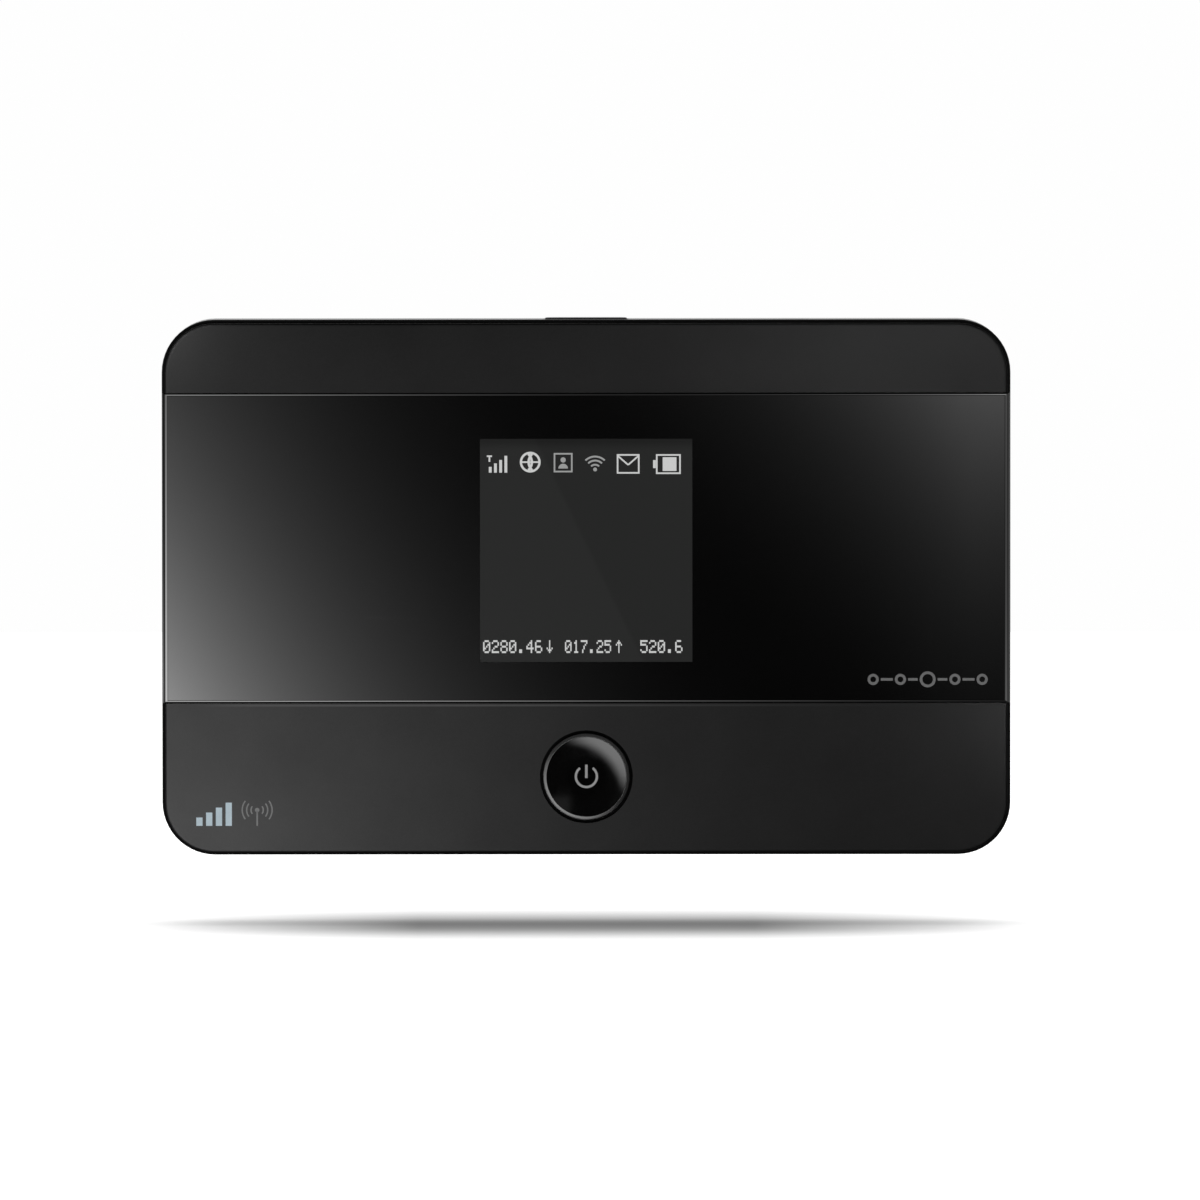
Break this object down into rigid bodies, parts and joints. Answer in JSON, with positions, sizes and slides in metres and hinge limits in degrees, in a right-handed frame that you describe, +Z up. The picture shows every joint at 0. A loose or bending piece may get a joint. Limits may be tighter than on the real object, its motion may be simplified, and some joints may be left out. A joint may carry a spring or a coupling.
{
  "type": "mobile hotspot",
  "caption": "Pocket cellular hotspot standing on its long edge: matt case, full-width gloss lens over a colour display, dished power button, lift-off battery cover.",
  "frame": {"origin": "middle of the lower long edge, halfway through the thickness, with the hotspot standing on that edge", "axes": "+X to the right along the face, +Y from the face back to the battery cover, +Z up the face; the display and the power button face -Y"},
  "size_m": [0.106, 0.016, 0.0671],
  "materials": {
    "casing_matte": "matte",
    "cover_matte": "matte",
    "gloss_black": "gloss",
    "lens_black": "gloss",
    "black_plastic": "satin",
    "tape": "matte",
    "foam": "matte",
    "display_glass": "gloss",
    "white_plastic": "satin",
    "amber_film": "satin",
    "board_green": "satin",
    "tinned_steel": "satin",
    "chip_black": "satin",
    "ceramic_tan": "satin",
    "gold": "satin",
    "copper_film": "satin",
    "pad_blue": "matte",
    "screw_steel": "satin",
    "label_paper": "matte",
    "battery_can": "satin",
    "card_white": "satin",
    "button_gloss": "gloss",
    "plunger_grey": "satin"
  },
  "bodies": {
    "housing": {"front_casing": "casing_matte", "display_lens": "lens_black", "lens_adhesive": "tape", "display_gasket": "foam", "display_polariser": "display_glass", "display_cell": "display_glass", "display_driver_chip": "chip_black", "display_backlight": "white_plastic", "display_flex": "amber_film", "display_connector": "ceramic_tan", "rim_frame": "gloss_black", "chassis": "black_plastic", "main_board": "board_green", "modem_shield": "tinned_steel", "radio_shield": "tinned_steel", "wifi_shield": "tinned_steel", "modem_chip": "chip_black", "memory_chip": "chip_black", "power_chip": "chip_black", "radio_chips": "chip_black", "wifi_chip": "chip_black", "oscillator": "tinned_steel", "board_passives": "ceramic_tan", "thermal_pad": "pad_blue", "usb_shell": "tinned_steel", "usb_tongue": "black_plastic", "sim_socket_base": "black_plastic", "sim_socket_shell": "tinned_steel", "card_socket_base": "black_plastic", "card_socket_shell": "tinned_steel", "battery_connector": "black_plastic", "battery_springs": "gold", "main_antenna": "copper_film", "diversity_antenna": "copper_film", "wifi_antennas": "copper_film", "antenna_clips": "gold", "radio_test_sockets": "gold", "power_switch_base": "black_plastic", "menu_switch_base": "black_plastic", "reset_switch_base": "black_plastic", "case_screws": "screw_steel", "bay_label": "label_paper"},
    "power_button": {"power_button_cap": "button_gloss", "power_switch_plunger": "plunger_grey"},
    "menu_button": {"menu_button_cap": "button_gloss", "menu_switch_plunger": "plunger_grey"},
    "reset_button": {"reset_plunger": "plunger_grey"},
    "cover": {"battery_cover": "cover_matte"},
    "battery": {"battery_cell": "battery_can", "battery_contact_cap": "black_plastic", "battery_end_cap": "black_plastic", "battery_pads": "gold"},
    "subscriber_card": {"sim_card": "card_white", "sim_card_pads": "gold"}
  },
  "joints": [
    {"name": "power_press", "type": "slide", "parent": "housing", "child": "power_button", "axis": [0, 1, 0], "range_m": [0, 0.0003], "stiffness_N_per_m": 4000},
    {"name": "menu_press", "type": "slide", "parent": "housing", "child": "menu_button", "axis": [0, 0, -1], "range_m": [0, 0.0003], "stiffness_N_per_m": 4000},
    {"name": "reset_press", "type": "slide", "parent": "housing", "child": "reset_button", "axis": [0, -1, 0], "range_m": [0, 0.0002], "stiffness_N_per_m": 4000},
    {"name": "cover_lift", "type": "slide", "parent": "housing", "child": "cover", "axis": [0, 1, 0], "range_m": [0, 0.06]},
    {"name": "battery_lift", "type": "slide", "parent": "housing", "child": "battery", "axis": [0, 1, 0], "range_m": [0, 0.03]},
    {"name": "card_slide", "type": "slide", "parent": "housing", "child": "subscriber_card", "axis": [0, 0, -1], "range_m": [0, 0.0145]}
  ],
  "couplings": [
    {"joint": "battery_lift", "follows": "cover_lift", "ratio": 0.5}
  ]
}
